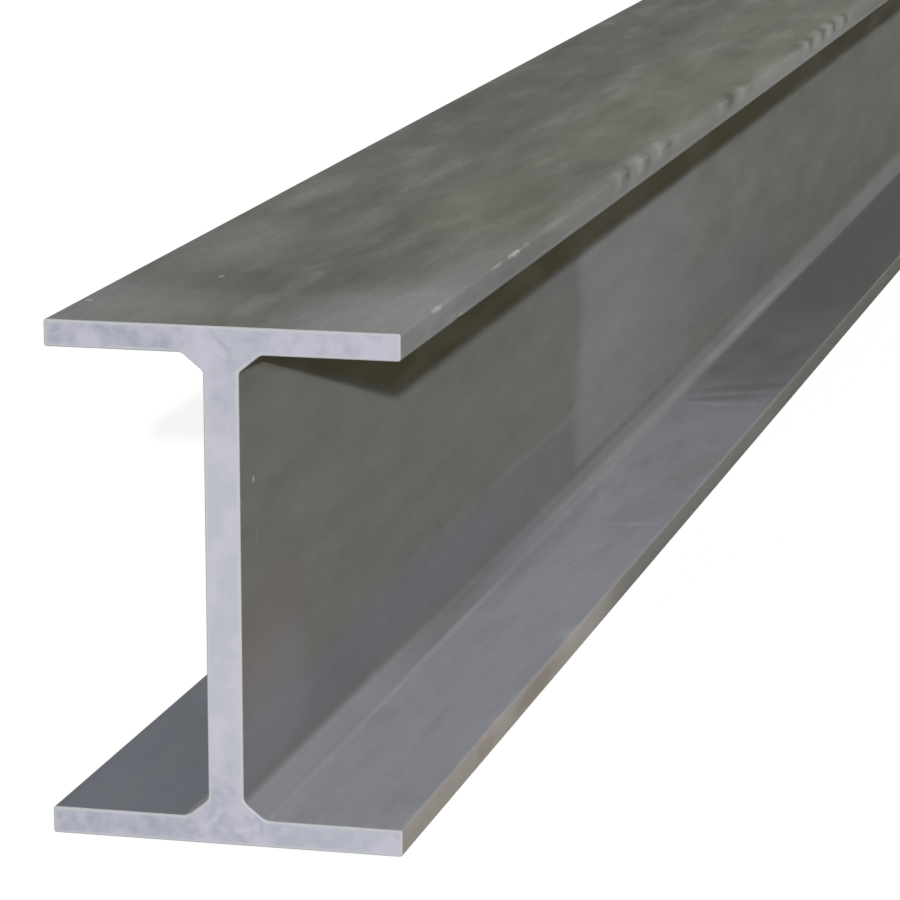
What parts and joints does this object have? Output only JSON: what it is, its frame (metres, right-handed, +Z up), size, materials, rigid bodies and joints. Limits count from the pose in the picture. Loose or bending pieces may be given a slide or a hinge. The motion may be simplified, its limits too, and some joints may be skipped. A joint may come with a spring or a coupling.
{
  "type": "steel i-beam",
  "caption": "Straight length of structural steel I-beam stock with parallel flanges, a central web, sloped root bands and square sawn ends.",
  "frame": {"origin": "middle of the footprint, on the underside of the bottom flange", "axes": "+X along the beam away from the pictured end, +Y to the left when looking along +X, +Z up from the bottom flange to the top flange"},
  "size_m": [6, 0.138, 0.2],
  "materials": {
    "mill_steel": "bare hot-worked steel, dull grey with olive and bluish smudges and bright sawn ends"
  },
  "bodies": {
    "root": {"i_beam": "mill_steel"}
  },
  "joints": []
}
